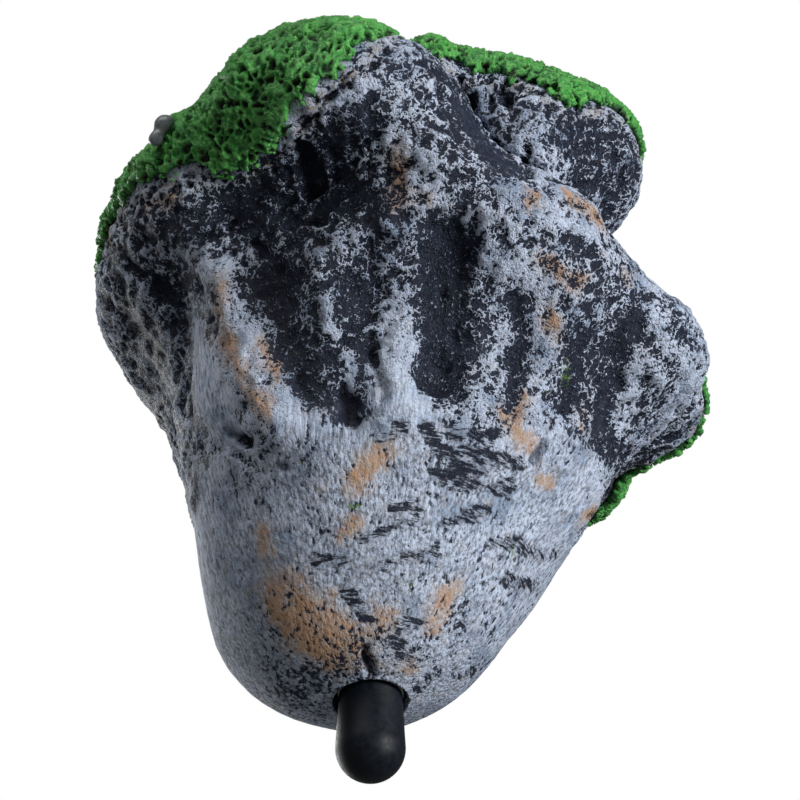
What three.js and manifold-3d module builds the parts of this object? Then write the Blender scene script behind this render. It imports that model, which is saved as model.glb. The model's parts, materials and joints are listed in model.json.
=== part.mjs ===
// A floating aquarium rock: a foam-cored resin rock with a mossy plateau, a second tier and a side
// ledge glued to it, and a ballast stem with a rubber cap in its lower tip.
//
// Millimetres, +Z up. The origin is the neck: the point on the stem's axis that is level with the
// lower tip of the rock. The face with the deep hollows looks along -Y. Each lump of rock is
// described as swellings, ridges and gouges, and meshed as one closed skin around a point inside it.

import * as THREE from "three";
import { ImprovedNoise } from "three/addons/math/ImprovedNoise.js";
import { mergeVertices } from "three/addons/utils/BufferGeometryUtils.js";
import Module from "manifold-3d";

const { clamp, lerp, smoothstep } = THREE.MathUtils;
const wasm = await Module();
wasm.setup();

// ---------------------------------------------------------------- driving dimensions

const GAP = 0.3; // glue line or clearance between two neighbouring pieces
const SKIN = 3.2; // least thickness of a resin skin
const MOSS_THICKNESS = 2.4;
const MOSS_TUCK = 1.8; // how far a mat's edge runs into the rock, which feathers it
const MOSS_FADE = 9; // height over which a mat reaches its thickness

const ROD_RADIUS = 5;
const ROD_TOP = 62;
const TUBE_WALL = 1.5;
const TUBE_TOP = 68;
const END_PLUG_LENGTH = 4;

const CAP_RADIUS = 7.2; // at the dome
const CAP_NECK_RADIUS = 6.7; // at the lip
const CAP_DOME_HEIGHT = -9.7; // centre of the dome
const CAP_FLOOR = 3; // rubber below the end of the rod
const CAP_DOME_STEPS = 8;
const NECK_RECESS_RADIUS = 7.9;
const NECK_RECESS_TOP = 3.3; // floor of the recess that the cap's lip goes into

const DOWEL_RADIUS = 3;
const DOWEL_LENGTH = 26;

const PAD_CENTRE = [-27, -14];
const PAD_HALF_SIZE = [16, 13];
const PAD_HEIGHT = 124.5; // the bare flat seat among the moss

const BEAD_LOBES = [
  { at: [-44, -50.5, 114.5], radii: [2.5, 2.5, 2.6] },
  { at: [-45.5, -50, 111.2], radii: [2, 2, 2] },
];

const ROUND_SEGMENTS = 24;
const CUTTER_REACH = 20; // how far a cutter stands out of what it cuts

const TUBE_BORE_RADIUS = ROD_RADIUS + GAP;
const TUBE_RADIUS = TUBE_BORE_RADIUS + TUBE_WALL;
const TUBE_BOTTOM = NECK_RECESS_TOP + GAP;
const CAP_SOCKET_FLOOR = CAP_DOME_HEIGHT - CAP_RADIUS + CAP_FLOOR;

// ---------------------------------------------------------------- the shape of the rock

// A swelling is an ellipsoid, and a stroke is a round-ended cone that adds a ridge or cuts a gouge.
// Moss grows above mossEdge, a height over each point of the plan.
const swelling = (at, radii) => ({ at, radii });
const stroke = (from, to, startRadius, endRadius = startRadius) => ({ from, to, startRadius, endRadius });

// The mat hangs lowest over the front left of the plateau, and over its right and back.
const frontMossEdge = (x) => 99.5 + 0.006 * (x + 24) ** 2 + 0.04 * Math.max(x + 14, 0) ** 2;
const backMossEdge = (x) => 94 + 15 * smoothstep(-x, 10, 45);

// A tongue of the tier's mat hangs down its front, and the mat hangs lower again over its back.
const tierMossEdge = (x, y) => 121.5 - 8 * Math.exp(-(((x - 40.5) / 5.5) ** 2)) - 0.25 * Math.max(y + 20, 0);

const MAIN_ROCK = {
  centre: [0, -14, 68],
  detail: 13,
  innerDetail: 5,
  blend: 14,
  top: { height: 129, fall: 0.05, from: -60 },
  mossEdge: (x, y) => lerp(frontMossEdge(x), backMossEdge(x), smoothstep(y, -48, -20)),
  swellings: [
    swelling([-3, 1, 27], [31, 28, 27]), // blunt lower tip
    swelling([2, -2, 50], [39, 39, 33]), // cone
    swelling([0.5, -8, 72.5], [42, 44, 34]), // waist
    swelling([-21, -2, 106], [40, 41, 26]), // left shoulder of the plateau
    swelling([-6, -43, 110], [30, 34, 26]), // front shoulder of the plateau
    swelling([-28, -25, 107.5], [24, 25, 19]), // rim between the two shoulders
    swelling([16, -38, 86], [34, 28, 22]), // under the crest
    swelling([37, -17, 77], [35, 29, 17]), // right shelf
    swelling([28, -8, 60], [20, 24, 20]), // its root
    swelling([0, 20, 84], [42, 30, 26]), // back
  ],
  ridges: [
    stroke([6, -75, 107], [14, -66, 86], 4), // crest, from the moss down
    stroke([14, -66, 86], [36, -57, 84], 4), // crest, across
    stroke([36, -57, 84], [57, -45, 85], 4, 4), // crest, out along the shelf
    stroke([57, -45, 85], [70, -21, 73], 4, 3),
    stroke([-32, -41, 84], [-17, -39, 46], 4.5), // flared rib on the left
    stroke([5, -58, 70], [3, -43, 46], 4, 3), // rib left of the deep hollow
    stroke([36, -50, 68], [33, -33, 51], 3.5, 3), // rib right of the slot
  ],
  gouges: [
    stroke([15, -61, 72], [14, -43, 53], 9, 6), // deep smooth hollow
    stroke([31, -51, 66], [29, -37, 53], 4, 3.5), // slot beside it
    stroke([55, -42, 70], [46, -18, 55], 4.5, 3.5), // two furrows below the shelf
    stroke([43, -45, 64], [40, -31, 54], 4, 3),
    stroke([-46, -31, 89], [-40, -14, 67], 4.5, 3), // dark furrow down the left side
    stroke([-24, -50, 74], [-15, -44, 48], 10, 7), // broad scoops between the ribs
    stroke([-1, -56, 67], [-5, -43, 44], 9, 5),
    stroke([-31, -57, 90], [0, -74, 86], 13, 13), // sunken band under the moss
  ],
};

const UPPER_TIER = {
  centre: [28, -20, 106],
  detail: 8,
  innerDetail: 4,
  blend: 8,
  top: { height: 136, fall: 0.1, from: -50 },
  mossEdge: tierMossEdge,
  swellings: [
    swelling([19, -38, 113], [24, 25, 24]),
    swelling([9, -50, 118], [13, 15, 12]), // its left end, behind the crest
    swelling([41, -29, 120], [18, 22, 14]),
    swelling([30, -20, 101], [18, 24, 16]), // its root on the shelf
  ],
  ridges: [stroke([35, -52, 118], [37, -50, 100], 4)],
  gouges: [stroke([24, -66, 118], [22, -62, 102], 11, 10)], // smooth niche in its front
};

const SIDE_LEDGE = {
  centre: [38, 12, 78],
  detail: 9,
  innerDetail: 3,
  blend: 8,
  top: { height: 88, fall: 0, from: 0 },
  mossEdge: (x, y) => 73.6 + 0.1 * Math.max(15 - y, 0),
  swellings: [swelling([43, -2, 79.5], [31.5, 25, 11]), swelling([28, 25, 80], [27, 24, 11])],
  ridges: [],
  gouges: [],
};

// ---------------------------------------------------------------- distances

const TOP_BLEND = 10;
const RIDGE_BLEND = 5;
const GOUGE_BLEND = 5;
const LUMP_HEIGHT = 1.1;
const LUMP_SPACING = 15;
const noise = new ImprovedNoise();

const plus = (a, b, scale = 1) => [a[0] + b[0] * scale, a[1] + b[1] * scale, a[2] + b[2] * scale];
const dot = (a, b) => a[0] * b[0] + a[1] * b[1] + a[2] * b[2];
const unit = (a) => a.map((value) => value / Math.hypot(...a));

function smoothMin(a, b, blend) {
  const overlap = Math.max(blend - Math.abs(a - b), 0) / blend;
  return Math.min(a, b) - (overlap * overlap * blend) / 4;
}

const smoothMax = (a, b, blend) => -smoothMin(-a, -b, blend);

function swellingDistance(p, { at, radii }) {
  const offset = plus(p, at, -1);
  const reach = Math.hypot(...offset.map((value, i) => value / radii[i]));
  const slope = Math.hypot(...offset.map((value, i) => value / radii[i] ** 2));
  return slope === 0 ? -Math.min(...radii) : (reach * (reach - 1)) / slope;
}

function strokeDistance(p, { from, to, startRadius, endRadius }) {
  const along = plus(to, from, -1);
  const offset = plus(p, from, -1);
  const t = clamp(dot(along, offset) / dot(along, along), 0, 1);
  return Math.hypot(...plus(offset, along, -t)) - lerp(startRadius, endRadius, t);
}

// Distance from the surface of a lump of rock, negative inside.
function rockDistance(rock, p) {
  let distance = Infinity;
  for (const shape of rock.swellings) {
    distance = smoothMin(distance, swellingDistance(p, shape), rock.blend);
  }
  const top = rock.top.height - rock.top.fall * (p[1] - rock.top.from);
  distance = smoothMax(distance, p[2] - top, TOP_BLEND);
  for (const shape of rock.ridges) {
    distance = smoothMin(distance, strokeDistance(p, shape), RIDGE_BLEND);
  }
  for (const shape of rock.gouges) {
    distance = smoothMax(distance, -strokeDistance(p, shape), GOUGE_BLEND);
  }
  return distance - LUMP_HEIGHT * noise.noise(...p.map((value) => value / LUMP_SPACING));
}

// ---------------------------------------------------------------- surfaces around a point

const REACH = 130;
const MARCH = 1;
const HALVINGS = 24;
const PROBE = 0.2; // step of the numerical slope
const RELAXATIONS = 10;
const HOLLOW_SPREAD = 1.3; // how wide a patch of skin each corner of the hollow stays clear of

// Outward normal of the rock at, or near, its surface.
function rockNormal(rock, p) {
  const axes = [[PROBE, 0, 0], [0, PROBE, 0], [0, 0, PROBE]];
  return unit(axes.map((step) => rockDistance(rock, plus(p, step)) - rockDistance(rock, plus(p, step, -1))));
}

// How far from the centre the surface is, looking in from outside.
function surfaceRadius(rock, direction) {
  const distanceAt = (radius) => rockDistance(rock, plus(rock.centre, direction, radius));
  let outside = REACH;
  while (distanceAt(outside - MARCH) > 0) {
    outside -= MARCH;
  }
  let inside = outside - MARCH;
  for (let i = 0; i < HALVINGS; i += 1) {
    const middle = (inside + outside) / 2;
    if (distanceAt(middle) > 0) outside = middle;
    else inside = middle;
  }
  return inside;
}

function closedMesh(geometry) {
  geometry.deleteAttribute("normal");
  geometry.deleteAttribute("uv");
  return mergeVertices(geometry, 1e-4);
}

// Evenly spread directions, and the triangles that join them.
function ball(detail) {
  const mesh = closedMesh(new THREE.IcosahedronGeometry(1, detail));
  const { position } = mesh.attributes;
  const directions = Array.from({ length: position.count }, (_, i) =>
    unit([position.getX(i), position.getY(i), position.getZ(i)]),
  );
  return { directions, triangles: mesh.index.array };
}

function neighboursOf(triangles, count) {
  const neighbours = Array.from({ length: count }, () => new Set());
  for (let i = 0; i < triangles.length; i += 3) {
    for (let side = 0; side < 3; side += 1) {
      const [from, to] = [triangles[i + side], triangles[i + ((side + 1) % 3)]];
      neighbours[from].add(to);
      neighbours[to].add(from);
    }
  }
  return neighbours.map((set) => [...set]);
}

// Evens out the triangles: each corner moves to the middle of its neighbours and back to the rock.
function relax(rock, points, triangles) {
  const neighbours = neighboursOf(triangles, points.length);
  let current = points;
  for (let round = 0; round < RELAXATIONS; round += 1) {
    current = current.map((_, i) => {
      const sum = neighbours[i].reduce((total, j) => plus(total, current[j]), [0, 0, 0]);
      const middle = sum.map((value) => value / neighbours[i].length);
      return onSurface(rock, middle);
    });
  }
  return current;
}

function onSurface(rock, p) {
  const once = plus(p, rockNormal(rock, p), -rockDistance(rock, p));
  return plus(once, rockNormal(rock, once), -rockDistance(rock, once));
}

function solidFrom(points, triangles) {
  const mesh = new wasm.Mesh({
    numProp: 3,
    vertProperties: Float32Array.from(points.flat()),
    triVerts: Uint32Array.from(triangles),
  });
  return new wasm.Manifold(mesh);
}

function solidOf(geometry) {
  const mesh = closedMesh(geometry);
  const corners = mesh.attributes.position;
  const pointAt = (_, i) => [corners.getX(i), corners.getY(i), corners.getZ(i)];
  const points = Array.from({ length: corners.count }, pointAt);
  return solidFrom(points, mesh.index.array);
}

function geometryOf(solid) {
  const mesh = solid.getMesh();
  const geometry = new THREE.BufferGeometry();
  geometry.setAttribute("position", new THREE.BufferAttribute(Float32Array.from(mesh.vertProperties), 3));
  geometry.setIndex([...mesh.triVerts]);
  geometry.computeVertexNormals();
  return geometry;
}

// A cut can leave crumbs, so only the largest piece is kept.
function largest(solid) {
  return solid.decompose().reduce((best, piece) => (piece.volume() > best.volume() ? piece : best));
}

// The solids of one lump of rock: its outside, bare and with its moss, each of them also with a
// clearance around it, and its hollow with the foam that fills it.
function solidsOf(rock) {
  const { directions, triangles } = ball(rock.detail);
  const radii = directions.map((direction) => surfaceRadius(rock, direction));
  const star = directions.map((direction, i) => plus(rock.centre, direction, radii[i]));
  const points = relax(rock, star, triangles);
  const normals = points.map((p) => rockNormal(rock, p));
  const inner = ball(rock.innerDetail);
  const spread = Math.cos(HOLLOW_SPREAD / (rock.innerDetail + 1));
  const depths = inner.directions.map((direction) => {
    const near = radii.filter((_, i) => dot(direction, directions[i]) > spread);
    return Math.min(...near) - SKIN;
  });
  const mossHeights = points.map(([x, y, z]) => {
    const cover = smoothstep(z - rock.mossEdge(x, y), -MOSS_FADE / 2, MOSS_FADE / 2);
    return lerp(-MOSS_TUCK, GAP + MOSS_THICKNESS, cover);
  });
  const raised = (heightOf) => solidFrom(points.map((p, i) => plus(p, normals[i], heightOf(i))), triangles);
  const innerPoint = (depthOf) => (direction, i) => plus(rock.centre, direction, depthOf(i));
  const sunk = (depthOf) => solidFrom(inner.directions.map(innerPoint(depthOf)), inner.triangles);
  return {
    outside: raised(() => 0),
    clearance: raised(() => GAP),
    mossy: raised((i) => mossHeights[i]),
    mossClearance: raised((i) => mossHeights[i] + GAP),
    hollow: sunk((i) => depths[i]),
    core: sunk((i) => depths[i] - GAP),
  };
}

// ---------------------------------------------------------------- round pieces and cutters

// The geometry classes turn their shapes about Y.
const upright = (geometry) => geometry.rotateX(Math.PI / 2);

function roundBar(radius, bottom, top) {
  const bar = upright(new THREE.CylinderGeometry(radius, radius, top - bottom, ROUND_SEGMENTS));
  return solidOf(bar.translate(0, 0, (bottom + top) / 2));
}

function turned(profile) {
  const points = profile.map(([radius, height]) => new THREE.Vector2(radius, height));
  return solidOf(upright(new THREE.LatheGeometry(points, ROUND_SEGMENTS)));
}

function ellipticalBar([halfX, halfY], [x, y], bottom, top) {
  const bar = upright(new THREE.CylinderGeometry(1, 1, top - bottom, ROUND_SEGMENTS));
  return solidOf(bar.scale(halfX, halfY, 1).translate(x, y, (bottom + top) / 2));
}

// A dowel lies along Z, or along Y when it is turned.
function dowel({ at, alongY }, radius, length) {
  const bar = new THREE.CylinderGeometry(radius, radius, length, ROUND_SEGMENTS / 2);
  if (!alongY) upright(bar);
  return solidOf(bar.translate(...at));
}

const DOWELS = {
  tier_dowel_front: { at: [36, -36, 96], alongY: false },
  tier_dowel_back: { at: [42, -16, 96], alongY: false },
  ledge_dowel_inner: { at: [22, 28, 80], alongY: true },
  ledge_dowel_outer: { at: [48, 4, 79], alongY: true },
};

const dowelHoles = Object.values(DOWELS).map((place) =>
  dowel(place, DOWEL_RADIUS + GAP, DOWEL_LENGTH + 2 * GAP),
);

// ---------------------------------------------------------------- the object

const main = solidsOf(MAIN_ROCK);
const tier = solidsOf(UPPER_TIER);
const ledge = solidsOf(SIDE_LEDGE);

const padTop = PAD_HEIGHT + CUTTER_REACH;
const padCutter = ellipticalBar(PAD_HALF_SIZE, PAD_CENTRE, PAD_HEIGHT, padTop);
const mossPadCutter = ellipticalBar(PAD_HALF_SIZE, PAD_CENTRE, PAD_HEIGHT - CUTTER_REACH, padTop);
const neckRecess = roundBar(NECK_RECESS_RADIUS, -CUTTER_REACH, NECK_RECESS_TOP);
const tubeHole = roundBar(TUBE_RADIUS + GAP, -CUTTER_REACH, TUBE_TOP + GAP);

const cut = (solid, cutters) => cutters.reduce((rest, cutter) => rest.subtract(cutter), solid);

const mainRockCutters = [main.hollow, padCutter, neckRecess, tubeHole, ...dowelHoles];
const mainRockSkin = () => largest(cut(main.outside, mainRockCutters));
const mainFoamCore = () => largest(cut(main.core, [tubeHole, ...dowelHoles]));
const addedSkin = (lump) => largest(cut(lump.outside, [lump.hollow, main.clearance, ...dowelHoles]));
const addedCore = (lump) => largest(cut(lump.core, [main.clearance, ...dowelHoles]));
const mossMat = (lump, others) => largest(cut(lump.mossy, [lump.clearance, ...others]));

function ballastTube() {
  return turned([
    [TUBE_BORE_RADIUS, TUBE_BOTTOM],
    [TUBE_RADIUS, TUBE_BOTTOM],
    [TUBE_RADIUS, TUBE_TOP],
    [TUBE_BORE_RADIUS, TUBE_TOP],
    [TUBE_BORE_RADIUS, TUBE_BOTTOM],
  ]);
}

function rubberCap() {
  const lip = NECK_RECESS_TOP - GAP;
  const dome = Array.from({ length: CAP_DOME_STEPS }, (_, i) => {
    const angle = (Math.PI / 2) * ((i + 1) / CAP_DOME_STEPS - 1);
    return [CAP_RADIUS * Math.cos(angle), CAP_DOME_HEIGHT + CAP_RADIUS * Math.sin(angle)];
  });
  return turned([
    [0, CAP_DOME_HEIGHT - CAP_RADIUS],
    ...dome,
    [CAP_NECK_RADIUS, lip],
    [TUBE_BORE_RADIUS, lip],
    [TUBE_BORE_RADIUS, CAP_SOCKET_FLOOR],
    [0, CAP_SOCKET_FLOOR],
  ]);
}

function mossGlueBead() {
  const lobes = BEAD_LOBES.map(({ at, radii }) =>
    solidOf(new THREE.IcosahedronGeometry(1, 3).scale(...radii).translate(...at)),
  );
  const bead = lobes.reduce((joined, lobe) => joined.add(lobe));
  return largest(cut(bead, [main.mossClearance, main.clearance]));
}

const RESIN = { color: "#6b7076", roughness: 0.9 };
const FOAM = { color: "#d9c9a3", roughness: 1 };
const MOSS = { color: "#3d8b2c", roughness: 0.95 };
const WOOD = { color: "#b48a5a", roughness: 0.8 };
const GLUE = { color: "#a9adb0", roughness: 0.35 };
const PLASTIC = { color: "#d8d8d4", roughness: 0.5 };
const STEEL = { color: "#8d9093", roughness: 0.4, metalness: 1 };
const RUBBER = { color: "#15171a", roughness: 0.5 };

const part = new THREE.Group();
function addPiece(name, solid, finish) {
  const mesh = new THREE.Mesh(geometryOf(solid), new THREE.MeshStandardMaterial(finish));
  mesh.name = name;
  part.add(mesh);
}

addPiece("main_rock_skin", mainRockSkin(), RESIN);
addPiece("main_foam_core", mainFoamCore(), FOAM);
addPiece("upper_tier_skin", addedSkin(tier), RESIN);
addPiece("upper_tier_core", addedCore(tier), FOAM);
addPiece("side_ledge_skin", addedSkin(ledge), RESIN);
addPiece("side_ledge_core", addedCore(ledge), FOAM);
addPiece("main_moss_mat", mossMat(main, [tier.clearance, mossPadCutter]), MOSS);
addPiece("upper_moss_mat", mossMat(tier, [main.clearance, main.mossClearance]), MOSS);
addPiece("ledge_moss_mat", mossMat(ledge, [main.clearance, tier.clearance]), MOSS);
addPiece("moss_glue_bead", mossGlueBead(), GLUE);
for (const [name, place] of Object.entries(DOWELS)) {
  addPiece(name, dowel(place, DOWEL_RADIUS, DOWEL_LENGTH), WOOD);
}
addPiece("ballast_tube", ballastTube(), PLASTIC);
addPiece("tube_end_plug", roundBar(ROD_RADIUS, TUBE_TOP - END_PLUG_LENGTH, TUBE_TOP), RUBBER);
addPiece("ballast_rod", roundBar(ROD_RADIUS, CAP_SOCKET_FLOOR + GAP, ROD_TOP), STEEL);
addPiece("rubber_cap", rubberCap(), RUBBER);

export default part;
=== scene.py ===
"""A floating aquarium rock: painted resin over foam, moss flock, and a ballast stem with a rubber cap."""

import json
import math

import bmesh
import bpy
import numpy as np
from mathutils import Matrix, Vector
from mathutils.bvhtree import BVHTree
from mathutils.kdtree import KDTree


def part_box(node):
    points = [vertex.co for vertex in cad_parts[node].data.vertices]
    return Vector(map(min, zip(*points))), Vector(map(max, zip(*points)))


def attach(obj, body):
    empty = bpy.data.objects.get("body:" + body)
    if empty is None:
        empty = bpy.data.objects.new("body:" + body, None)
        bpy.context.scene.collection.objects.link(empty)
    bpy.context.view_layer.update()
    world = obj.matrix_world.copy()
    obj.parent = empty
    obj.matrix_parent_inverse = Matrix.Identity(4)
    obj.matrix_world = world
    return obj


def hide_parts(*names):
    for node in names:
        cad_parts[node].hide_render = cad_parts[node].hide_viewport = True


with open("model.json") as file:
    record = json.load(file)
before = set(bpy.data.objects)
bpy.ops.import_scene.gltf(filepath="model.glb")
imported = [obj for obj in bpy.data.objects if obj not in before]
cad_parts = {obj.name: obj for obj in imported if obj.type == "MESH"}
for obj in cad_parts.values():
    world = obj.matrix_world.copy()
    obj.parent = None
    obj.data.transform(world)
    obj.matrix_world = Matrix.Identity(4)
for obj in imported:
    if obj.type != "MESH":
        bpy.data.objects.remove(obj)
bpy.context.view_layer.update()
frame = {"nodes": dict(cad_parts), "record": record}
NODES = frame["nodes"]

MM = 0.001  # lengths below are millimetres; meshes are metres

# ---------------------------------------------------------------- driving dimensions

GAP = 0.3  # between neighbours, as in the frame
ROCK_VOXEL = 0.76  # size of the faces of the rock
SMALL_VOXEL = 0.35  # and of the glue bead
SMOOTHING = 0.6  # how far one round of smoothing takes a point towards its neighbours
FACET_ROUNDS = 45  # rounds of smoothing that take the frame's facets out
CAVITY_ROUNDS = 160  # rounds that show what is hollow and what stands out
CAVITY_DEPTH = 2.2  # the depth that counts as fully hollow
PORE_WALL = 0.42  # width of the wall between two pores, as a share of their spacing
ROCK_PORE_SPACING = 3.1
ROCK_PORE_DEPTH = 2.3
ROCK_LUMP = 0.9  # height of the rock's broad lumps
ROCK_CRAG = 1.2  # of the smaller lumps on them
ROCK_CRUMB = 0.6  # and of the crumbs on those
BRUSH_GRAIN = 0.12  # height of the grain where the rock is smooth
MAT_MARGIN = 2  # how far outside a moss mat's box the rock may still be under it
MAT_REACH = 3.2  # how far off the rock the frame's moss mats may start
MAT_THICKEST = 8  # more than the thickness of those mats
MOSS_THINNEST = 0.25
MOSS_THICKNESS = 2.4  # at most
MOSS_LUMP = 0.9  # height of the moss's lumps
MOSS_PORE_SPACING = 2.1
RAGGED_SPACING = 3.0  # of the gaps in the moss along its edge
MOSS_PORE_DEPTH = 2.2
STREAK_RADIUS = 2.6
THREAD_WIDTH = 0.055  # of a thread of paint, as a difference of noise
PAINT_REACH = 1.5  # points farther than this from the sculpted outside are bare
NECK_RADIUS = 7.9  # of the recess at the tip that the cap's lip goes into
NECK_TOP = 3.3  # height of the floor of that recess
SOCKET_RADIUS = 7.1  # of the hole above it, for the sleeve
TIP = 0.9  # height at which the tip is closed before its holes are cut
BELOW_TIP = -20  # where the cutters of those holes start
TUBE_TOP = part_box("ballast_tube")[1].z / MM
CAP_TAPER = 0.5  # from its dome to its lip
CAP_ROUNDING = (0.5, 0.4, 0.6, 0)  # outside of the lip, its inside, the foot of the bore, the axis
ROD_CHAMFER = 0.6
ROD_ROUNDING = 0.15  # of the chamfer's corners
DOME_STEPS = 16  # in the rounded end of the cap
ROUND_SEGMENTS = 96  # around the cap, the rod and the floor
CUTTER_SEGMENTS = 48  # around the cutters
OVERLAP = 0.5  # how far the fillings reach into the skin while it is remeshed
PAD_HEIGHT = frame["record"]["mounts"][1]["pos_m"][2] / MM
PAD_HALF_SIZE = (16.0, 13.0)  # of the flat bare patch in the main moss
PAD_DEPTH = 4  # how far below it the rock is left as it is in the frame
PAD_CENTRE = [value / MM for value in frame["record"]["mounts"][1]["pos_m"][:2]]
CONE_TOP = 47.0  # below it the rock is smooth and brushed along its length
CONE_WANDER = 24  # how far the edge of the smooth part strays up and down
CONE_BLEND = 14  # and how wide it is

DOWELS = ("tier_dowel_front", "tier_dowel_back", "ledge_dowel_inner", "ledge_dowel_outer")
LUMPS = (  # of rock: its piece, skin, core and moss mat, then the moss's piece and least thickness
    ("main_rock", "main_rock_skin", "main_foam_core", "main_moss_mat", "main_moss", 0.2),
    ("upper_tier", "upper_tier_skin", "upper_tier_core", "upper_moss_mat", "upper_moss", 0.1),
    ("side_ledge", "side_ledge_skin", "side_ledge_core", "ledge_moss_mat", "ledge_moss", 0.5),
)

# ---------------------------------------------------------------- the view

CAMERA_TARGET = Vector((6, -27, 58.9)) * MM
CAMERA_RISE = math.radians(38)  # the view looks up at the rock by this much
CAMERA_DISTANCE = 800 * MM
LENS = 172.8
SENSOR_WIDTH = 36
FARTHEST_SEEN = 20  # metres
FLOOR_HEIGHT = -620 * MM
FLOOR_RADIUS = 12000 * MM
FLOOR_GLOW = 0.8
FLOOR_GREY = (0.86, 0.86, 0.85)
WORLD_LIGHT = 0.13
LIGHTS = {  # place and size in metres, then power in watts
    "key": ((0.60, -0.42, -0.05), 0.3, 5.5),
    "top": ((-0.20, -0.45, 0.60), 0.5, 2.3),
    "back": ((-0.55, 0.70, 0.35), 0.6, 5.0),
}

# ---------------------------------------------------------------- marks on the rocks

# Each mark runs from one point to another, with a radius, or STREAK_RADIUS for a streak. Grooves also
# have a depth.
GROOVES = [
    ((-45, -27, 90), (-39, -21, 61), 3.2, 1.6),
    ((-28, -30, 48), (-26, -31, 45), 2.4, 1.9),
    ((-21, -32, 39), (-18, -33, 37), 1.4, 1.1),
    ((38, -30, 53), (35, -30, 47), 1.8, 1.8),
    ((35, -30, 47), (34, -27, 43), 1.7, 1.8),
    ((-1, -14, 5), (0, -11, 3), 2.2, 2.0),
    ((32, -55, 103), (32, -64, 87), 1.8, 1.6),
    ((-14, -60, 99), (-12, -55, 94), 3.4, 2.8),
    ((-24, -45, 86), (-24, -44, 83), 1.8, 1.5),
    ((28, -56, 119), (28, -57, 117), 2.6, 2.2),
    ((52, -43, 113), (52, -43, 112), 2.2, 1.8),
    ((54, -37, 112), (54, -36, 111), 2.0, 1.6),
    ((-16, -51, 88), (-9, -55, 84), 1.5, 1.6),
    ((-13, -53, 81), (-10, -55, 78), 2.2, 1.0),
    ((-53, -26, 95), (-50, -27, 93), 2.6, 1.8),
    ((42, -10, 40), (45, -12, 45), 1.4, 1.3),
    ((-6, -40, 50), (-3, -39, 44), 3.0, 1.9),
    ((0, -44, 59), (3, -43, 48), 1.6, 1.3),
]
# The dark marks take pale paint away: partly where the brush missed hollows, slots and furrows, and partly
# painted shade in them and under the moss.
DARK = [
    ((-17, -43, 75), (-8, -49, 68), 12),
    ((-15, -41, 64), (-5, -40, 49), 10),
    ((-5, -49, 70), (-4, -43, 59), 9),
    ((17, -58, 80), (16, -38, 55), 9),
    ((20, -47, 64), (17, -38, 52), 7),
    ((32, -47, 67), (29, -36, 54), 4.5),
    ((55, -38, 72), (47, -19, 54), 4.5),
    ((43, -39, 66), (41, -30, 56), 4.5),
    ((39, -58, 78), (58, -46, 78), 4.5),
    ((2, -72, 110), (-4, -70, 97), 5),
    ((-56, -26, 102), (-38, -43, 93), 8),
    ((-38, -43, 93), (-17, -56, 97), 6),
    ((-17, -56, 97), (0, -70, 98), 5),
    ((-25, -46, 91), (-8, -55, 86), 7),
    ((-6, -57, 91), (5, -59, 77), 7),
    ((-53, -18, 90), (-48, -10, 80), 8),
    ((60, -39, 75), (65, -32, 71), 4),
    ((48, -18, 55), (53, -4, 60), 5),
    ((-45, -26, 89), (-39, -22, 61), 4.5),
    ((20, -63, 106), (28, -64, 92), 8),
    ((43, -52, 112), (55, -42, 115), 9),
    ((49, -42, 106), (56, -38, 113), 9),
    ((12, -71, 112), (29, -57, 118), 5),
    ((64, -4, 71), (58, 18, 71), 9),
    ((58, 18, 71), (48, 30, 71), 8),
]
# The light marks add pale paint on ridges and crests: partly the dry brush, and partly painted highlight.
LIGHT = [
    ((-31, -43, 82), (-29, -40, 66), 4.4),
    ((39, -59, 88), (49, -34, 107), 3),
    ((55, -42, 79), (61, -34, 84), 3),
    ((-57, -25, 107), (-36, -41, 85), 3),
    ((-29, -40, 66), (-22, -39, 52), 6),
    ((-22, -39, 52), (-17, -38, 47), 5),
    ((5, -48, 64), (7, -45, 59), 6),
    ((5, -46, 59), (8, -42, 47), 6.5),
    ((-10, -49, 68), (-8, -45, 61), 2.2),
    ((-5, -43, 57), (-4, -40, 51), 2.6),
    ((26, -56, 72), (34, -51, 70), 6),
    ((36, -49, 68), (35, -39, 60), 5),
    ((35, -39, 60), (32, -34, 47), 5),
    ((28, -43, 64), (25, -37, 56), 4),
    ((6, -67, 95), (14, -64, 83), 6),
    ((20, -60, 80), (38, -61, 81), 4),
    ((38, -61, 81), (58, -46, 82), 4),
    ((58, -40, 74), (67, -19, 69), 4),
    ((67, -19, 69), (58, -1, 67), 5),
    ((56, -34, 67), (53, -18, 61), 4),
    ((-7, -72, 102), (0, -74, 104), 3),
    ((35, -55, 103), (35, -61, 89), 3),
    ((38, -56, 95), (48, -40, 102), 3),
]
SMOOTH = [
    ((-40, -28, 76), (-31, -30, 50), 9),
    ((20, -63, 106), (28, -64, 92), 7),
]
BRUSHED = [
    ((13, -58, 76), (12, -42, 56), 5),
    ((53, -32, 66), (46, -19, 54), 3),
    ((-40, -26, 74), (-36, -22, 56), 5),
    ((20, -63, 106), (28, -64, 92), 7),
]
STREAKS = [
    ((14, -37, 38), (27, -32, 41)),
    ((13, -34, 34), (23, -31, 37)),
    ((17, -35, 36), (31, -28, 41)),
    ((18, -31, 33), (29, -27, 37)),
    ((11, -40, 42), (13, -38, 40)),
    ((16, -39, 42), (24, -35, 43)),
    ((15, -29, 26), (24, -26, 32)),
    ((5, -33, 27), (9, -32, 27)),
    ((-1, -30, 21), (9, -30, 25)),
    ((-2, -26, 16), (13, -25, 21)),
    ((25, -21, 26), (30, -17, 30)),
    ((30, -16, 29), (39, -4, 35)),
    ((28, -13, 23), (35, -2, 29)),
    ((-5, -23, 13), (0, -20, 9)),
    ((6, -18, 9), (11, -18, 10)),
    ((5, -16, 7), (9, -9, 4)),
    ((15, -2, 6), (22, 2, 10)),
    ((10, -2, 3), (14, -5, 6)),
    ((2, -39, 39), (6, -41, 42)),
    ((-11, -26, 18), (-5, -27, 18)),
]
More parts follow.
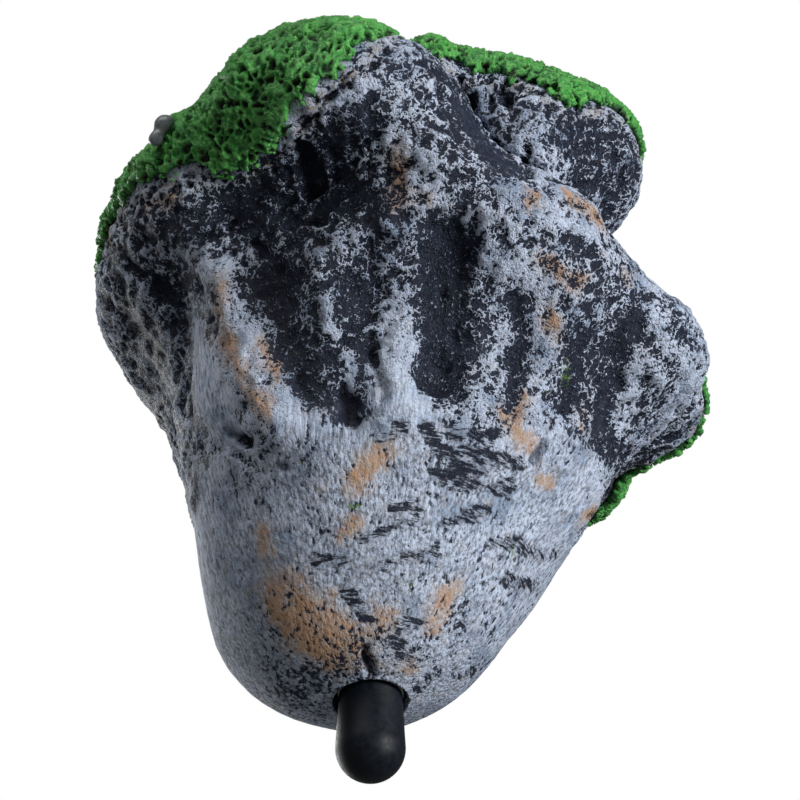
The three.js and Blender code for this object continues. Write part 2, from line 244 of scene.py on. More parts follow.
OCHRE = [
    ((-4, -36, 32), (3, -38, 37), 4),
    ((-2, -35, 30), (0, -36, 34), 3),
    ((-5, -30, 22), (-3, -32, 25), 2.5),
    ((3, -20, 10), (2, -18, 8), 4),
    ((13, -18, 12), (16, -20, 16), 4.2),
    ((12, -15, 9), (14, -15, 10), 2.5),
    ((44, -8, 43), (53, 14, 66), 3),
    ((29, -34, 45), (33, -30, 45), 3.5),
    ((27, -36, 47), (31, -36, 52), 3),
    ((35, -25, 41), (37, -22, 41), 2.5),
    ((7, -10, 4), (9, -8, 4), 2.5),
    ((-17, -19, 13), (-7, -15, 5), 11),
    ((-22, -25, 27), (-21, -23, 22), 3),
    ((35, -55, 73), (43, -49, 72), 3.2),
    ((37, -48, 67), (38, -40, 64), 2.6),
    ((33, -63, 84), (32, -63, 80), 3),
    ((41, -58, 87), (48, -51, 86), 4),
    ((53, -44, 78), (56, -42, 79), 3),
    ((26, -43, 64), (25, -40, 60), 2.2),
    ((52, -36, 70), (43, -25, 52), 2.8),
    ((-31, -43, 79), (-32, -39, 72), 3.6),
    ((-32, -37, 69), (-28, -39, 59), 3.8),
    ((-27, -39, 57), (-22, -38, 47), 3.6),
    ((-23, -40, 65), (-19, -39, 55), 3.0),
    ((5, -65, 93), (6, -61, 82), 3.5),
    ((10, -65, 84), (12, -64, 82), 3),
    ((-45, -43, 100), (-41, -45, 99), 3),
    ((-50, -37, 101), (-47, -40, 100), 3),
    ((-58, -21, 110), (-58, -23, 105), 4),
]
GREEN = [
    ((2, -65, 95), (3, -65, 95), 1.3),
    ((-21, -59, 99), (-20, -61, 99), 1.8),
    ((39, -36, 62), (40, -33, 59), 2.6),
    ((36, -34, 57), (36, -34, 56), 1.6),
    ((33, -57, 74), (33, -56, 74), 1.4),
    ((5, -46, 59), (5, -46, 58), 1.2),
    ((7, -42, 51), (7, -42, 50), 1.2),
    ((7, -23, 15), (8, -23, 15), 1.8),
    ((-4, -33, 27), (-2, -33, 27), 1.8),
    ((29, -18, 28), (29, -16, 27), 1.6),
    ((-15, -35, 37), (-14, -35, 36), 1.3),
    ((-7, -35, 32), (-7, -35, 31), 1.2),
    ((-25, -16, 18), (-25, -15, 16), 2.0),
    ((-16, -40, 62), (-15, -40, 62), 1.2),
]

# ---------------------------------------------------------------- repeatable noise

CORNERS = np.array([[i & 1, i >> 1 & 1, i >> 2 & 1] for i in range(8)])
NEARBY = np.array([[i % 3 - 1, i // 3 % 3 - 1, i // 9 - 1] for i in range(27)])


def cell_random(cells, seed):
    """A repeatable random number from 0 to 1 for each cell, a cell being three whole numbers."""
    cells = cells.astype(np.int64).astype(np.uint64)
    key = cells[:, 0] * np.uint64(73856093) + cells[:, 1] * np.uint64(19349663)
    key += cells[:, 2] * np.uint64(83492791) + np.uint64(seed * 97531)
    for factor, shift in ((2246822519, 15), (3266489917, 13)):
        key = key & np.uint64(0xFFFFFFFF)
        key = (key ^ key >> np.uint64(shift)) * np.uint64(factor)
    key = key & np.uint64(0xFFFFFFFF)
    return (key ^ key >> np.uint64(16)) / 2.0**32


def soft_noise(points, size, seed):
    """Smooth random values from -1 to 1 that change over about size."""
    scaled = points / size
    first = np.floor(scaled)
    share = scaled - first
    share = share * share * (3 - 2 * share)
    total = np.zeros(len(points))
    for corner in CORNERS:
        weight = np.prod(np.where(corner, share, 1 - share), axis=1)
        total += weight * cell_random(first + corner, seed)
    return 2 * total - 1


def layered_noise(points, size, seed, layers=3):
    """Noise in layers, each half the size and half the strength of the one before."""
    total = sum(soft_noise(points, size / 2**i, seed + i) / 2**i for i in range(layers))
    return total / (2 - 2 ** (1 - layers))


def pores(points, spacing, seed):
    """The pore that each point is in: 0 on the wall between pores to 1 inside, and a random number."""
    scaled = points / spacing
    first = np.floor(scaled)
    nearest, second = np.full(len(points), 9.0), np.full(len(points), 9.0)
    chance = np.zeros(len(points))
    for offset in NEARBY:
        cell = first + offset
        centre = cell + np.stack([cell_random(cell, seed + i) for i in range(3)], axis=1)
        distance = np.linalg.norm(scaled - centre, axis=1)
        closer = distance < nearest
        second = np.where(closer, nearest, np.minimum(second, distance))
        chance = np.where(closer, cell_random(cell, seed + 3), chance)
        nearest = np.where(closer, distance, nearest)
    return smooth_step((second - nearest) / PORE_WALL), chance


def warped(points, by, size, seed):
    """The points moved about at random by up to by, over about size."""
    shift = [layered_noise(points, size, seed + i, 2) for i in range(3)]
    return points + by * np.stack(shift, axis=1)


def smooth_step(value):
    """0 below 0, 1 above 1, smooth between them."""
    value = np.clip(value, 0, 1)
    return value * value * (3 - 2 * value)


def near(points, start, end, radius):
    """1 on the line from start to end, falling smoothly to 0 at radius from it."""
    along = np.subtract(end, start).astype(float)
    offset = points - np.array(start, float)
    share = np.clip(offset @ along / (along @ along), 0, 1)
    distance = np.linalg.norm(offset - share[:, None] * along, axis=1)
    return smooth_step(1.25 * (1 - distance / radius))


def marked(points, marks):
    """1 on the marks, falling smoothly to 0 around them."""
    return np.max([near(points, *mark[:3]) for mark in marks], axis=0)


# ---------------------------------------------------------------- meshes as arrays

def read(items, name, width=1, kind=np.float32):
    """One array of a value of each of the items."""
    values = np.empty(len(items) * width, kind)
    items.foreach_get(name, values)
    return values


def vectors_of(mesh, name):
    return read(mesh.vertices, name, 3).reshape(-1, 3).astype(float)


def set_attribute(mesh, name, values):
    mesh.attributes.new(name, "FLOAT", "POINT").data.foreach_set("value", values.astype(np.float32))


def arrays_of(mesh):
    """Corners in mm, edges and quads of a mesh that is all quads."""
    edges = read(mesh.edges, "vertices", 2, np.int32).reshape(-1, 2)
    quads = read(mesh.loops, "vertex_index", 1, np.int32).reshape(-1, 4)
    return vectors_of(mesh, "co") / MM, edges, quads


def neighbour_mean(values, edges):
    """For each point, the mean of the values at its neighbours along the edges."""
    count = len(values)
    ends = np.concatenate([edges[:, 0], edges[:, 1]])
    others = np.concatenate([edges[:, 1], edges[:, 0]])
    degree = np.bincount(ends, minlength=count)
    columns = [np.bincount(ends, values[others, i], minlength=count) for i in range(values.shape[1])]
    return np.stack(columns, axis=1) / np.maximum(degree, 1)[:, None]


def smoothed(values, edges, rounds, weight=1.0):
    """Columns of values, each drawn towards its neighbours so many times, and less where weight is."""
    for _ in range(rounds):
        values = values + SMOOTHING * weight * (neighbour_mean(values, edges) - values)
    return values


def normals_of(points, quads):
    """The direction that the surface faces at each point."""
    a, b, c, d = (points[quads[:, i]] for i in range(4))
    face = np.cross(c - a, d - b)
    total = np.zeros_like(points)
    for axis in range(3):
        for i in range(4):
            total[:, axis] += np.bincount(quads[:, i], face[:, axis], minlength=len(points))
    return total / np.maximum(np.linalg.norm(total, axis=1), 1e-9)[:, None]


def mesh_of(name, points, faces):
    """A mesh from points in mm."""
    mesh = bpy.data.meshes.new(name)
    mesh.from_pydata((points * MM).tolist(), [], faces)
    mesh.update()
    return mesh


def linked(name, mesh):
    obj = bpy.data.objects.new(name, mesh)
    bpy.context.scene.collection.objects.link(obj)
    return obj


def applied(obj):
    """The mesh of obj with its modifiers applied; obj is removed."""
    graph = bpy.context.evaluated_depsgraph_get()
    mesh = bpy.data.meshes.new_from_object(obj.evaluated_get(graph))
    bpy.data.objects.remove(obj)
    return mesh


def add_boolean(obj, operation, other):
    """Joins other to obj, or cuts it out of obj, once the modifiers are applied."""
    modifier = obj.modifiers.new("boolean", "BOOLEAN")
    modifier.operation = operation
    modifier.solver = "MANIFOLD"
    modifier.object = other


def remeshed(obj, voxel, helpers=()):
    """Arrays of the outside of obj, joined with its helpers, as even quads about voxel mm across."""
    for helper in helpers:
        add_boolean(obj, "UNION", helper)
    modifier = obj.modifiers.new("voxels", "REMESH")
    modifier.mode = "VOXEL"
    modifier.voxel_size = voxel * MM
    arrays = arrays_of(applied(obj))
    for helper in helpers:
        bpy.data.objects.remove(helper)
    return arrays


def welded(name):
    """A node's faces as a bmesh, with the corners that they share joined."""
    bm = bmesh.new()
    bm.from_mesh(NODES[name].data)
    bmesh.ops.remove_doubles(bm, verts=bm.verts, dist=0.001 * MM)
    return bm


def cylinder(start, end, radius):
    """A round cutter from start to end."""
    axis = Vector(end) - Vector(start)
    bm = bmesh.new()
    bmesh.ops.create_cone(bm, cap_ends=True, segments=CUTTER_SEGMENTS, radius1=radius * MM,
                          radius2=radius * MM, depth=axis.length * MM)
    turn = Vector((0, 0, 1)).rotation_difference(axis).to_matrix().to_4x4()
    turn.translation = (Vector(start) + Vector(end)) / 2 * MM
    bm.transform(turn)
    mesh = bpy.data.meshes.new("cutter")
    bm.to_mesh(mesh)
    bm.free()
    return linked("cutter", mesh)


def grown(name, by):
    """A copy of a node, swollen by so many mm."""
    bm = welded(name)
    bm.normal_update()
    for vertex in bm.verts:
        vertex.co += vertex.normal * by * MM
    mesh = bpy.data.meshes.new(name)
    bm.to_mesh(mesh)
    bm.free()
    return linked("swollen_" + name, mesh)


def dowel_cutter(name):
    """A cutter for the hole that a dowel is in, with the gap all round."""
    low, high = (np.array(corner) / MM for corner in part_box(name))
    size = high - low
    axis = int(np.argmax(size))
    start, end = (low + high) / 2, (low + high) / 2
    start[axis] = low[axis] - GAP
    end[axis] = high[axis] + GAP
    return cylinder(start, end, size.min() / 2 + GAP)


def hollowed(name, mesh, core):
    """The skin with its hollow and its holes cut into it."""
    cutters = [grown(core, GAP)] + [dowel_cutter(dowel) for dowel in DOWELS]
    if name == "main_rock":
        cutters.append(cylinder((0, 0, BELOW_TIP), (0, 0, NECK_TOP), NECK_RADIUS))
        cutters.append(cylinder((0, 0, BELOW_TIP), (0, 0, TUBE_TOP + GAP), SOCKET_RADIUS))
    obj = linked(name, mesh)
    for cutter in cutters:
        add_boolean(obj, "DIFFERENCE", cutter)
    result = applied(obj)
    for cutter in cutters:
        bpy.data.objects.remove(cutter)
    return result


# ---------------------------------------------------------------- the rock's surface

def moss_depths(points, normals, mat):
    """How thick the moss mat lies over each point of the rock, in mm."""
    tree = BVHTree.FromBMesh(welded(mat))
    depths = np.zeros(len(points))
    low, high = (np.array(corner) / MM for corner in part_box(mat))
    inside = np.all((points > low - MAT_MARGIN) & (points < high + MAT_MARGIN), axis=1)
    for i in np.nonzero(inside)[0]:
        start = Vector((points[i] - normals[i]) * MM)
        direction = Vector(normals[i])
        under = tree.ray_cast(start, direction, MAT_REACH * MM)
        if under[0] is None:
            continue
        over = tree.ray_cast(under[0] + direction * 0.05 * MM, direction, MAT_THICKEST * MM)
        if over[0] is not None:
            depths[i] = over[3] / MM
    return depths


def in_pad(points):
    """Which points are in the flat bare patch on top of the main rock."""
    reach = sum(((points[:, i] - PAD_CENTRE[i]) / PAD_HALF_SIZE[i]) ** 2 for i in range(2))
    return (reach < 1) & (points[:, 2] > PAD_HEIGHT - PAD_DEPTH)


def rock_surface(node, core, mat):
    """Everything about the outside of one lump of rock, point by point."""
    is_main = node == "main_rock_skin"
    helpers = [grown(core, OVERLAP)]
    if is_main:
        helpers.append(cylinder((0, 0, TIP), (0, 0, TUBE_TOP + OVERLAP), NECK_RADIUS + 0.1))
    points, edges, quads = remeshed(grown(node, 0), ROCK_VOXEL, helpers)
    pad = in_pad(points) if is_main else np.zeros(len(points), bool)
    points = smoothed(points, edges, FACET_ROUNDS, np.where(pad, 0, 1)[:, None])
    normals = normals_of(points, quads)
    depths = moss_depths(points, normals, mat)
    depths = smoothed(depths[:, None], edges, 4)[:, 0]
    broad = smoothed(points, edges, CAVITY_ROUNDS)
    hollow = np.einsum("ij,ij->i", broad - points, normals)
    covered = smooth_step(depths / 1.2)
    fringe = smooth_step(2.2 * smoothed(covered[:, None], edges, 90)[:, 0]) * (1 - covered)
    return {"points": points, "edges": edges, "quads": quads, "normals": normals, "pad": pad,
            "depths": depths, "hollow": np.clip(hollow / CAVITY_DEPTH, -1, 1), "covered": covered,
            "fringe": fringe}


def zones_of(rock):
    """Where the rock is craggy, smooth, brushed, light and dark."""
    points = rock["points"]
    bent = warped(points, by=1.4, size=5, seed=40)
    height = points[:, 2] + CONE_WANDER * layered_noise(points, size=22, seed=3, layers=4)
    cone = 1 - smooth_step((height - CONE_TOP + CONE_BLEND / 2) / CONE_BLEND)
    return {
        "bent": bent, "height": height, "craggy": layered_noise(points, size=6, seed=7),
        "smooth": np.maximum(cone, marked(bent, SMOOTH)), "brushed": marked(points, BRUSHED),
        "light": marked(bent, LIGHT), "dark": marked(bent, DARK)}


def relief(rock, zones):
    """How far each point is lifted, in mm, and from 0 to 1 how deep it is in a pore or a groove."""
    points, smooth = rock["points"], zones["smooth"]
    crooked = warped(points, by=2.0, size=3.5, seed=58)
    groove = np.max([mark[3] * near(crooked, *mark[:3]) for mark in GROOVES], axis=0)
    rough = (1 - smooth) * (1 - 0.8 * zones["brushed"])
    open_rock = 1 - rock["covered"]
    pore, chance = pores(warped(points, by=2.0, size=2.8, seed=50), ROCK_PORE_SPACING, seed=11)
    crumb = 1 - 2.5 * np.abs(layered_noise(points, size=3.6, seed=21, layers=2))
    patchy = layered_noise(points, size=15, seed=5, layers=2)
    porous = rough * open_rock * smooth_step(0.22 + 1.1 * rock["fringe"] + 0.55 * patchy)
    bowl = porous * pore * (0.1 + 0.9 * chance)
    lumps = ROCK_LUMP * layered_noise(points, size=13, seed=1) + ROCK_CRAG * zones["craggy"]
    lift = rough * (lumps + ROCK_CRUMB * crumb * open_rock)
    grain = BRUSH_GRAIN * layered_noise(points, size=1.9, seed=9, layers=2)
    lift += grain * smooth + 0.2 * zones["light"] * open_rock
    lift -= ROCK_PORE_DEPTH * bowl + groove
    lift *= np.where(rock["pad"], 0, 1)
    return lift, np.clip(1.5 * bowl - 0.35 + 0.7 * groove, 0, 1)


def coverage(rock, zones, lift):
    """How much of the black resin the pale paint hides: more on what stands out than in hollows, partly as
    a dry brush leaves it and partly as painted highlight and painted shade.
    """
    points, hollow, craggy = rock["points"], rock["hollow"], zones["craggy"]
    light, smooth = zones["light"], zones["smooth"]
    proud = np.clip((lift - smoothed(lift[:, None], rock["edges"], 10)[:, 0]) / 0.4, -1, 1)
    patch = layered_noise(points, size=17, seed=15)
    cone = 0.79 + 0.24 * patch + 0.1 * craggy - 0.12 * smooth_step(1.2 - points[:, 2] / 14)
    # Less paint in hollows and more on what stands out: partly the dry brush, partly painted shade and
    # painted highlight.
    cover = 0.50 + 0.26 * patch - 0.42 * hollow + 0.1 * craggy + 0.38 * proud
    cover += 0.16 * smooth_step((CONE_TOP + 26 - zones["height"]) / 26)
    cover = cover * (1 - smooth) + cone * smooth
    # The dark marks, deeper in hollows: partly unpainted resin, partly painted shade.
    cover -= 0.38 * zones["dark"] * (1 - 0.7 * light) * (1 + np.clip(hollow, 0, 1))
    cover += 0.32 * light + 0.1 * rock["fringe"] - 0.12 * zones["brushed"]
    return np.clip(cover, 0.10, 0.93)


def sculpt(rock):
    """The rock's surface with its lumps, pores, grooves and grain, and how it is painted."""
    zones = zones_of(rock)
    lift, pit = relief(rock, zones)
    bent, fringe = zones["bent"], rock["fringe"]
    ochre = smoothed(marked(bent, OCHRE)[:, None], rock["edges"], 14)[:, 0]
    return rock["points"] + rock["normals"] * lift[:, None], {
        "cover": coverage(rock, zones, lift), "pit": pit,
        "smooth": zones["smooth"], "brushed": zones["brushed"],
        "ochre": np.maximum(1.3 * ochre, 0.6 * fringe),
        "green": np.maximum(marked(bent, GREEN), 0.75 * fringe ** 2),
        "streak": marked(bent, [(start, end, STREAK_RADIUS) for start, end in STREAKS])}


def give_attributes(mesh, points, values, fallback):
    """Sets each value on the mesh, point by point, from the nearest of the points it was worked out at."""
    tree = KDTree(len(points))
    for i, point in enumerate(points * MM):
        tree.insert(point, i)
    tree.balance()
    nearest = np.zeros(len(mesh.vertices), int)
    known = np.zeros(len(mesh.vertices), bool)
    for i, vertex in enumerate(mesh.vertices):
        _, nearest[i], distance = tree.find(vertex.co)
        known[i] = distance < PAINT_REACH * MM
    for name, array in values.items():
        set_attribute(mesh, name, np.where(known, array[nearest], fallback.get(name, 0)))


def shade_smooth(mesh):
    mesh.polygons.foreach_set("use_smooth", [True] * len(mesh.polygons))


def rock_piece(name, node, core, mat, material):
    """One lump of rock in place of its node. Returns its surface before and after sculpting."""
    rock = rock_surface(node, core, mat)
    outside, paint = sculpt(rock)
    mesh = hollowed(name, mesh_of(name, outside, rock["quads"].tolist()), core)
    # Points inside the holes get pit 0.6, which darkens them as painted shade.
    give_attributes(mesh, outside, paint, {"pit": 0.6})
    shade_smooth(mesh)
    mesh.materials.clear()
    mesh.materials.append(material)
    obj = linked(name, mesh)
    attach(obj, "rock")
    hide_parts(node)
    return rock, outside


# ---------------------------------------------------------------- moss

def moss_grows(rock, outside, least):
    """Which points the moss covers: those where it is at least so thick, with a ragged edge."""
    pore, _ = pores(warped(outside, by=1.0, size=2.5, seed=63), RAGGED_SPACING, seed=65)
    edge = smooth_step(2.4 * (1 - smoothed(rock["covered"][:, None], rock["edges"], 50)[:, 0]))
    ragged = rock["depths"] + 0.8 * layered_noise(outside, size=4, seed=61) - (0.4 + 1.9 * edge) * pore
    growing = (ragged > least) & (rock["depths"] > 0.3) & ~rock["pad"]
    return growing & (smoothed(growing.astype(float)[:, None], rock["edges"], 3)[:, 0] > 0.4)


def moss_shell(rock, outside, least):
    """The moss over one lump of rock: its top, its underside and the wall between their rims."""
    normals = normals_of(outside, rock["quads"])
    growing = moss_grows(rock, outside, least)
    quads = rock["quads"][np.all(growing[rock["quads"]], axis=1)]
    used, compact = np.unique(quads, return_inverse=True)
    quads = compact.reshape(-1, 4)
    under = outside[used] + normals[used] * GAP
    thickness = np.minimum(rock["depths"][used], MOSS_THICKNESS)
    over = under + normals[used] * np.maximum(thickness, MOSS_THINNEST)[:, None]
    count = len(used)
    sides = np.concatenate([quads[:, [i, (i + 1) % 4]] for i in range(4)])
    keys = sides[:, 0].astype(np.int64) * count + sides[:, 1]
    back = sides[:, 1].astype(np.int64) * count + sides[:, 0]
    rim = sides[~np.isin(keys, back)]
    walls = np.stack([rim[:, 1], rim[:, 0], rim[:, 0] + count, rim[:, 1] + count], axis=1)
    faces = np.concatenate([quads, quads[:, ::-1] + count, walls])
    on_top = np.concatenate([np.ones(count), np.zeros(count)])
    return np.concatenate([over, under]), faces, on_top, np.concatenate([thickness, thickness])


def refined(points, faces, on_top, thickness):
    """The same shell with each face of its top split in four."""
    mesh = mesh_of("moss", points, faces.tolist())
    set_attribute(mesh, "top", on_top)
    set_attribute(mesh, "thickness", thickness)
    bm = bmesh.new()
    bm.from_mesh(mesh)
    top = bm.verts.layers.float["top"]
    edges = [edge for edge in bm.edges if all(vertex[top] > 0.5 for vertex in edge.verts)]
    bmesh.ops.subdivide_edges(bm, edges=edges, cuts=1, use_grid_fill=True)
    bmesh.ops.triangulate(bm, faces=[face for face in bm.faces if len(face.verts) > 4])
    bm.to_mesh(mesh)
    bm.free()
    return mesh


def moss_piece(name, node, rock, outside, least, material):
    """The moss over one lump of rock, with its lumps, tufts and pores."""
    mesh = refined(*moss_shell(rock, outside, least))
    points, normals = vectors_of(mesh, "co") / MM, vectors_of(mesh, "normal")
    thickness = read(mesh.attributes["thickness"].data, "value")
    on_top = read(mesh.attributes["top"].data, "value") > 0.5
    inland = np.where(on_top, np.clip(thickness / MOSS_THICKNESS, 0, 1), 0)
    pore, chance = pores(warped(points, by=1.2, size=2.0, seed=75), MOSS_PORE_SPACING, seed=71)
    patchy = smooth_step(1.15 + 1.1 * layered_noise(points, size=6, seed=77, layers=2))
    pit = pore * (0.25 + 0.75 * chance) * patchy
    tufts = layered_noise(points, size=1.4, seed=95, layers=2)
    lumps = MOSS_LUMP * layered_noise(points, size=7, seed=91, layers=2) + 0.7 * tufts + 0.6
    points = points + normals * (inland * (lumps - MOSS_PORE_DEPTH * pit))[:, None]
    mesh.vertices.foreach_set("co", (points * MM).astype(np.float32).ravel())
    set_attribute(mesh, "pit", pit)
    set_attribute(mesh, "wall", 1 - pore)
    shade_smooth(mesh)
    mesh.materials.append(material)
    mesh.update()
    obj = linked(name, mesh)
    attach(obj, "rock")
    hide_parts(node)


# ---------------------------------------------------------------- materials

# The resin, bare and painted.
BLACK = (0.006, 0.011, 0.029)
CHARCOAL = (0.027, 0.036, 0.064)
PALE = (0.60, 0.69, 0.86)
BLUE_GREY = (0.30, 0.39, 0.55)
SLATE = (0.13, 0.155, 0.20)
TAN = (0.52, 0.39, 0.28)
RUST = (0.50, 0.26, 0.11)
SPECK_GREEN = (0.15, 0.27, 0.07)
# The moss, from near-black painted shade in its pores, through its greens, to a painted highlight on the
# crests of its walls.
MOSS_PAINTED_SHADE = (0.003, 0.012, 0.004)
MOSS_DEEP = (0.042, 0.280, 0.058)
MOSS_BRIGHT = (0.080, 0.480, 0.085)
MOSS_PAINTED_HIGHLIGHT = (0.24, 0.64, 0.15)


class Shader:
    """A material under construction: each call adds a node and returns its output."""

    def __init__(self, name, **surface):
        self.material = bpy.data.materials.new(name)
        self.material.use_nodes = True
        self.tree = self.material.node_tree
        self.surface = self.tree.nodes["Principled BSDF"]
        self.coordinates = self.tree.nodes.new("ShaderNodeTexCoord").outputs["Object"]
        for socket, value in surface.items():
            self.feed(self.surface.inputs[socket.replace("_", " ")], value)

    def feed(self, socket, value):
        if isinstance(value, bpy.types.NodeSocket):
            self.tree.links.new(value, socket)
        elif isinstance(value, tuple) and len(value) == 3 and socket.type == "RGBA":
            socket.default_value = (*value, 1)
        else:
            socket.default_value = value

    def set(self, socket, value):
        self.feed(self.surface.inputs[socket], value)

    def attribute(self, name):
        node = self.tree.nodes.new("ShaderNodeAttribute")
        node.attribute_name = name
        return node.outputs["Fac"]

    def math(self, operation, *values):
        node = self.tree.nodes.new("ShaderNodeMath")
        node.operation = operation
        for socket, value in zip(node.inputs, values):
            self.feed(socket, value)
        return node.outputs[0]

    def times(self, value, factor):
        return self.math("MULTIPLY", value, factor)

    def plus(self, value, more):
        return self.math("ADD", value, more)

    def minus(self, value, less):
        return self.math("SUBTRACT", value, less)

    def between(self, value, low, high):
        """0 below low, 1 above high, smooth between them."""
        node = self.tree.nodes.new("ShaderNodeMapRange")
        node.interpolation_type = "SMOOTHSTEP"
        for key, item in (("Value", value), ("From Min", low), ("From Max", high)):
            self.feed(node.inputs[key], item)
        return node.outputs[0]

    def mix(self, share, first, second):
        node = self.tree.nodes.new("ShaderNodeMix")
        node.data_type = "RGBA"
        self.feed(node.inputs["Factor"], share)
        self.feed(node.inputs[6], first)
        self.feed(node.inputs[7], second)
        return node.outputs[2]

    def blend(self, share, first, second):
        """The same for numbers."""
        node = self.tree.nodes.new("ShaderNodeMix")
        self.feed(node.inputs["Factor"], share)
        self.feed(node.inputs[2], first)
        self.feed(node.inputs[3], second)
        return node.outputs[0]

    def stretched(self, scale):
        node = self.tree.nodes.new("ShaderNodeMapping")
        self.feed(node.inputs["Vector"], self.coordinates)
        node.inputs["Scale"].default_value = scale
        return node.outputs[0]

    def noise(self, size, detail=3.0, roughness=0.6, where=None):
        node = self.tree.nodes.new("ShaderNodeTexNoise")
        self.feed(node.inputs["Vector"], where or self.coordinates)
        node.inputs["Scale"].default_value = 1 / (size * MM)
        node.inputs["Detail"].default_value = detail
        node.inputs["Roughness"].default_value = roughness
        return node.outputs["Fac"]

    def threads(self, size):
        """1 along thin crooked threads, falling to 0 between them."""
        away = self.math("ABSOLUTE", self.minus(self.noise(size, 3, 0.65), 0.5))
        return self.minus(1.0, self.between(away, 0.0, THREAD_WIDTH))

    def bump(self, height, distance):
        node = self.tree.nodes.new("ShaderNodeBump")
        self.feed(node.inputs["Height"], height)
        node.inputs["Distance"].default_value = distance * MM
        self.set("Normal", node.outputs[0])


def paint_field(s, smooth, streak):
    """The fine pattern that the brush leaves: crumbs and threads, and strokes where the rock is smooth."""
    rough = s.blend(0.26, s.noise(0.85, 3, 0.8), s.noise(3.2, 4, 0.7))
    rough = s.blend(0.20, rough, s.threads(2.6))
    along = s.blend(0.45, s.noise(0.9, 2, 0.5, s.stretched((1, 1, 0.09))), s.noise(4, 6, 0.8))
    field = s.blend(s.times(smooth, 0.8), rough, along)
    across = s.noise(0.9, 5, 0.8, s.stretched((0.2, 0.2, 1.0)))
    return s.blend(s.times(streak, 0.85), field, across)


def bare_resin(s, smooth, brushed, hair):
    """Black, with charcoal strokes where it is brushed, and dust that catches the light."""
    combed = s.plus(s.times(brushed, 1.2), s.times(smooth, 0.5))
    bare = s.mix(s.times(s.between(hair, 0.42, 0.72), combed), BLACK, CHARCOAL)
    dust = s.between(s.noise(0.5, 2, 0.8), 0.62, 0.72)
    return s.mix(s.times(dust, 0.55), bare, BLUE_GREY)


def pale_paint(s, smooth, ochre, hair):
    """Blue-grey to nearly white, with slate streaks where the rock is smooth, and washes of ochre."""
    pale = s.mix(s.between(s.noise(9, 4, 0.65), 0.30, 0.56), BLUE_GREY, PALE)
    strokes = s.times(s.between(hair, 0.40, 0.66), s.times(smooth, 0.95))
    pale = s.mix(strokes, pale, SLATE)
    grime = s.between(s.noise(0.6, 3, 0.7), 0.5, 0.68)
    pale = s.mix(s.times(grime, 0.5), pale, SLATE)
    warm = s.between(s.plus(s.noise(4, 8, 0.85), s.times(ochre, 0.18)), 0.50, 0.80)
    pale = s.mix(s.times(warm, 0.75), pale, TAN)
    stain = s.noise(3.5, 8, 0.85, s.stretched((1, 1, 0.5)))
    rust = s.between(s.plus(stain, s.times(ochre, 0.16)), 0.57, 0.74)
    return s.mix(s.times(rust, 0.7), pale, RUST)


def painted_resin():
    """Black resin, dry-brushed pale blue-grey, with washes of ochre and specks of green; the paint's cover
    and the black in pores and grooves also carry painted highlight and painted shade.
    """
    s = Shader("painted resin")
    smooth, streak, pit = s.attribute("smooth"), s.attribute("streak"), s.attribute("pit")
    field = paint_field(s, smooth, streak)
    level = s.minus(0.665, s.times(s.attribute("cover"), 0.35))
    level = s.plus(level, s.times(streak, 0.095))
    paint = s.between(field, s.minus(level, 0.02), s.plus(level, 0.035))
    hair = s.noise(0.7, 3, 0.7, s.stretched((1, 1, 0.12)))
    bare = bare_resin(s, smooth, s.attribute("brushed"), hair)
    colour = s.mix(paint, bare, pale_paint(s, smooth, s.attribute("ochre"), hair))
    specks = s.plus(s.noise(0.9, 4, 0.8), s.times(s.attribute("green"), 0.2))
    colour = s.mix(s.times(s.between(specks, 0.68, 0.74), 0.7), colour, SPECK_GREEN)
    # Painted shade: pores and grooves go most of the way to black, partly the bare resin that the brush
    # misses and partly shade in them.
    s.set("Base Color", s.mix(s.times(pit, 0.85), colour, BLACK))
    s.set("Roughness", s.blend(paint, 0.5, 0.72))
    s.set("Specular IOR Level", 0.35)
    s.bump(s.plus(s.times(field, 1.6), s.times(paint, 0.3)), 0.7)
    return s.material


def moss_flock():
    """Glossy green flock: green walls with a painted highlight on their crests, between pores darkened with
    painted shade.
    """
    s = Shader("moss flock", Roughness=0.22)
    pit, wall = s.attribute("pit"), s.attribute("wall")
    fine = s.noise(0.7, 3, 0.75)
    green = s.mix(s.between(s.noise(6, 4, 0.65), 0.38, 0.62), MOSS_DEEP, MOSS_BRIGHT)
    # Painted shade: the pores, and the dips of the fine noise, go to near-black green.
    shade = s.between(s.plus(pit, s.times(fine, 0.8)), 0.55, 1.0)
    colour = s.mix(shade, green, MOSS_PAINTED_SHADE)
    # Painted highlight: a pale yellow-green glint on the crests of the walls.
    crest_highlight = s.times(wall, s.between(fine, 0.42, 0.62))
    colour = s.mix(s.times(crest_highlight, 0.8), colour, MOSS_PAINTED_HIGHLIGHT)
    s.set("Base Color", colour)
    s.set("Specular IOR Level", 0.5)
    s.bump(fine, 0.8)
    return s.material


def plain(name, first, second, size, roughness, bump, stretch=(1, 1, 1), metallic=0.0, specular=0.5):
    """A material that varies a little between two colours."""
    s = Shader(name, Metallic=metallic)
    grain = s.noise(size, 4, 0.6, s.stretched(stretch))
    s.set("Base Color", s.mix(s.between(grain, 0.35, 0.65), first, second))
    s.set("Roughness", s.blend(s.between(grain, 0.3, 0.7), roughness * 0.85, min(roughness * 1.15, 1.0)))
    s.set("Specular IOR Level", specular)
    s.bump(grain, bump)
    return s.material


